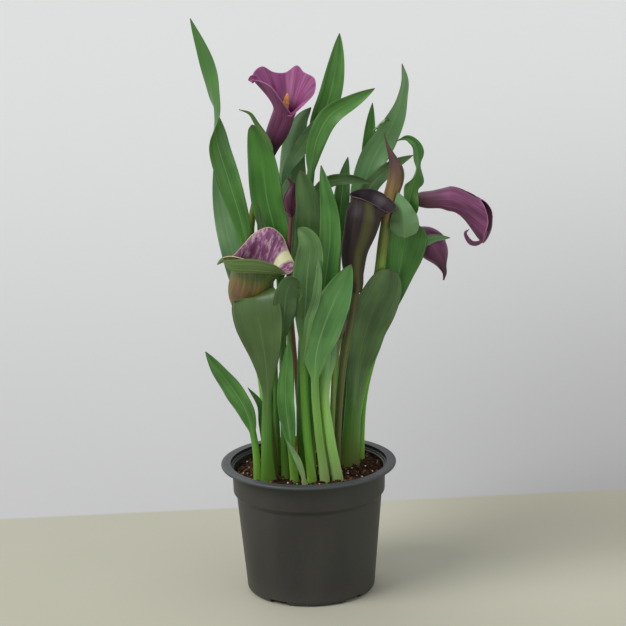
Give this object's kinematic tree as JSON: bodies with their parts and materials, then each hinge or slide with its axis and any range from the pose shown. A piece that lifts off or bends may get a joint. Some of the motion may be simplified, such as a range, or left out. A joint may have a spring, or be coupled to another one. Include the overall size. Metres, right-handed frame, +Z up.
{
  "type": "potted calla lily",
  "caption": "Round tapered nursery pot with a rolled rim, filled with potting mix, holding a clump of upright lance-shaped leaves and trumpet-shaped flowers on slender stems.",
  "frame": {"origin": "middle of the pot's flat underside, where it rests", "axes": "+Z up along the pot's axis, +X to the viewer's right, +Y away from the viewer"},
  "size_m": [0.2499, 0.152, 0.5],
  "materials": {
    "pot_plastic": "satin charcoal injection-moulded polypropylene",
    "mix": "damp peat, bark and perlite",
    "tuber_skin": "dry brown corky skin",
    "leaf_green": "smooth, slightly waxy mid green",
    "leaf_dark": "smooth dark green",
    "leaf_pale": "dull pale green underside",
    "dry_leaf": "dry brown papery sheath",
    "stem_green": "smooth yellow-green stem",
    "bract_mauve": "velvety pink-mauve",
    "bract_striped": "purple with cream stripes, olive outside",
    "bract_purple": "velvety dusky purple",
    "bract_black": "velvety near-black purple",
    "bract_brown": "brown-purple with olive veins",
    "spadix_yellow": "granular orange-yellow"
  },
  "bodies": {
    "root": {"nursery_pot": "pot_plastic", "potting_mix": "mix", "tuber_1": "tuber_skin", "tuber_2": "tuber_skin", "tuber_3": "tuber_skin", "tuber_4": "tuber_skin", "leaf_tall_left": "leaf_green", "leaf_centre_left": "leaf_green", "leaf_upper_middle": "leaf_green", "leaf_upper_right": "leaf_green", "leaf_tall_right": "leaf_green", "leaf_behind_tall_right": "leaf_green", "leaf_wavy_right": "leaf_green", "leaf_behind_bud": "leaf_green", "leaf_small_pointed": "leaf_green", "leaf_front_centre": "leaf_green", "leaf_front_folded": "leaf_green", "leaf_front_right": "leaf_green", "leaf_arching": "leaf_green", "leaf_small_front": "leaf_green", "leaf_far_left": "leaf_green", "leaf_stub_left": "leaf_green", "leaf_big_right": "leaf_green", "leaf_broad_right": "leaf_green", "leaf_thin_right": "leaf_green", "shoot_left": "leaf_green", "shoot_right": "leaf_green", "leaf_spike_left": "leaf_dark", "leaf_behind_hood": "leaf_dark", "leaf_dark_horizontal": "leaf_dark", "leaf_dark_centre": "leaf_dark", "leaf_front_left": "leaf_dark", "leaf_pale_left": "leaf_pale", "leaf_upper_pale": "leaf_pale", "leaf_pale_stalk": "leaf_pale", "dry_sheath": "dry_leaf", "stem_open_flower": "stem_green", "stem_hanging_flower": "stem_green", "stem_dark_flower": "stem_green", "stem_striped_hood": "stem_green", "stem_pointed_bud": "stem_green", "stem_nodding_flower": "stem_green", "stem_curled_bloom": "stem_green", "stem_small_bud": "stem_green", "bract_open_flower": "bract_mauve", "bract_striped_hood": "bract_striped", "bract_hanging_flower": "bract_purple", "bract_nodding_flower": "bract_purple", "bract_curled_bloom": "bract_purple", "bract_small_bud": "bract_purple", "bract_dark_flower": "bract_black", "bract_pointed_bud": "bract_brown", "spadix_open_flower": "spadix_yellow", "spadix_hanging_flower": "spadix_yellow", "spadix_dark_flower": "spadix_yellow", "spadix_striped_hood": "spadix_yellow"}
  },
  "joints": []
}
